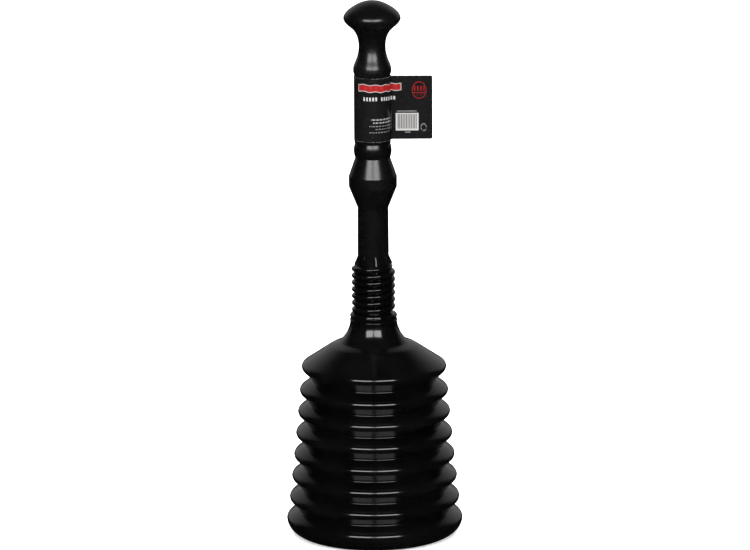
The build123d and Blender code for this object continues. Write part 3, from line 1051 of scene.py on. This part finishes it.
# Lamps: metres, degrees and watts.
SOFTBOX_AWAY = 1.6
SOFTBOX_AZIMUTH = 19.3
SOFTBOX_ELEVATION = 27.0
SOFTBOX_WIDTH = 0.8
SOFTBOX_TALL = 0.62
SOFTBOX_POWER = 21.0
FILL_WIDTH = 0.27
FILL_TALL = 0.27
FILL_DROP = 6.0
FILL_POWER = 1.5
OVERHEAD_PLACE = (0, 0.4, 3.2)
OVERHEAD_AIM = (0, 0.2, 0)
OVERHEAD_SIDE = 4.0
OVERHEAD_POWER = 270.0

# Camera: metres and degrees, with the lens in millimetres.
CAMERA_AWAY = 4.785
CAMERA_PITCH = 12.9
CAMERA_ROLL = -0.325
CAMERA_SIDE = 0.0014
CAMERA_AIM = 0.2307
CAMERA_LENS = 264.7

def floor_piece():
    """A wide pale floor just under the seat, which the object doesn't mirror."""
    mesh = bpy.data.meshes.new("floor")
    height = CAD_LOW.z - FLOOR_DROP
    sides = ((-1, -1), (1, -1), (1, 1), (-1, 1))
    corners = [(x * FLOOR_REACH, y * FLOOR_REACH, height) for x, y in sides]
    mesh.from_pydata(corners, [], [(0, 1, 2, 3)])
    look = Look("floor_paper")
    tone = look.mix(look.noise(look.object_place(), 3, 2), (0.88, 0.88, 0.88, 1), (0.92, 0.92, 0.92, 1))
    look.links.new(tone, look.shader.inputs["Base Color"])
    look.shader.inputs["Roughness"].default_value = 0.9
    look.shader.inputs["Emission Color"].default_value = (1, 1, 1, 1)
    look.shader.inputs["Emission Strength"].default_value = FLOOR_GLOW
    mesh.materials.append(look.material)
    floor = bpy.data.objects.new("floor", mesh)
    bpy.context.scene.collection.objects.link(floor)
    floor.visible_glossy = False


def surroundings():
    """Pale surroundings behind and beside the object, dark in front and below."""
    world = bpy.data.worlds.new("studio")
    bpy.context.scene.world = world
    world.use_nodes = True
    nodes = world.node_tree.nodes
    links = world.node_tree.links
    place = nodes.new("ShaderNodeTexCoord")
    split = nodes.new("ShaderNodeSeparateXYZ")
    links.new(place.outputs["Generated"], split.inputs[0])
    depth = nodes.new("ShaderNodeMapRange")
    depth.interpolation_type = "SMOOTHSTEP"
    for i, value in enumerate((None, BACK_START, BACK_FULL, FRONT_GLOW, BACK_GLOW)):
        if value is not None:
            depth.inputs[i].default_value = value
    links.new(split.outputs["Y"], depth.inputs[0])
    level = nodes.new("ShaderNodeMapRange")
    level.interpolation_type = "SMOOTHSTEP"
    for i, value in enumerate((None, UNDER_START, UNDER_END, UNDER_SHARE, 1.0)):
        if value is not None:
            level.inputs[i].default_value = value
    links.new(split.outputs["Z"], level.inputs[0])
    glow = nodes.new("ShaderNodeMath")
    glow.operation = "MULTIPLY"
    links.new(depth.outputs[0], glow.inputs[0])
    links.new(level.outputs[0], glow.inputs[1])
    background = nodes["Background"]
    background.inputs["Color"].default_value = (1, 1, 1, 1)
    links.new(glow.outputs[0], background.inputs["Strength"])


def lamp(name, place, aim, width, tall, power, mirrored=True):
    """A rectangular soft light at a place, facing what it is aimed at."""
    data = bpy.data.lights.new(name, "AREA")
    data.shape = "RECTANGLE"
    data.size = width
    data.size_y = tall
    data.energy = power
    light = bpy.data.objects.new(name, data)
    bpy.context.scene.collection.objects.link(light)
    light.location = place
    light.rotation_mode = "QUATERNION"
    light.rotation_quaternion = (Vector(aim) - Vector(place)).to_track_quat("-Z", "Y")
    light.visible_glossy = mirrored


def lights():
    """Two soft boxes side by side in front, a small one low between them, and light from above.

    The one above lights the floor and isn't mirrored in the object."""
    middle = Vector((0, 0, (CAD_LOW.z + CAD_HIGH.z) / 2))
    for name, side in (("softbox_left", -1), ("softbox_right", 1)):
        around = radians(side * SOFTBOX_AZIMUTH)
        up = radians(SOFTBOX_ELEVATION)
        away = Vector((sin(around) * cos(up), -cos(around) * cos(up), sin(up))) * SOFTBOX_AWAY
        lamp(name, middle + away, middle, SOFTBOX_WIDTH, SOFTBOX_TALL, SOFTBOX_POWER)
    up = radians(SOFTBOX_ELEVATION - FILL_DROP)
    away = Vector((0, -cos(up), sin(up))) * SOFTBOX_AWAY
    lamp("softbox_between", middle + away, middle, FILL_WIDTH, FILL_TALL, FILL_POWER)
    side = OVERHEAD_SIDE
    lamp("overhead", OVERHEAD_PLACE, OVERHEAD_AIM, side, side, OVERHEAD_POWER, mirrored=False)


def camera():
    """A long lens a little above the object, looking along +Y."""
    data = bpy.data.cameras.new("camera")
    data.lens = CAMERA_LENS
    data.sensor_width = 36.0
    data.clip_end = 50
    view = bpy.data.objects.new("camera", data)
    bpy.context.scene.collection.objects.link(view)
    pitch = radians(CAMERA_PITCH)
    back = Vector((0, -cos(pitch), sin(pitch)))
    facing = (-back).to_track_quat("-Z", "Y").to_matrix().to_4x4()
    place = Vector((CAMERA_SIDE, 0, CAMERA_AIM)) + back * CAMERA_AWAY
    roll = Matrix.Rotation(radians(CAMERA_ROLL), 4, "Z")
    view.matrix_world = Matrix.Translation(place) @ facing @ roll
    bpy.context.scene.camera = view


build_bellows(
    plastic(
        "bellows_plastic",
        BELLOWS_DARK,
        BELLOWS_LIGHT,
        roughness=0.12,
        spread=0.015,
        grain_scale=900,
        grain_depth=0.000003,
        wave_depth=0.0001,
    )
)
build_handle(
    plastic(
        "handle_plastic",
        HANDLE_DARK,
        HANDLE_LIGHT,
        roughness=0.25,
        spread=0.02,
        grain_scale=1600,
        grain_depth=0.000008,
        wave_depth=0.00006,
    )
)
build_label()
floor_piece()
surroundings()
lights()
camera()
bpy.context.scene.view_settings.view_transform = "Standard"
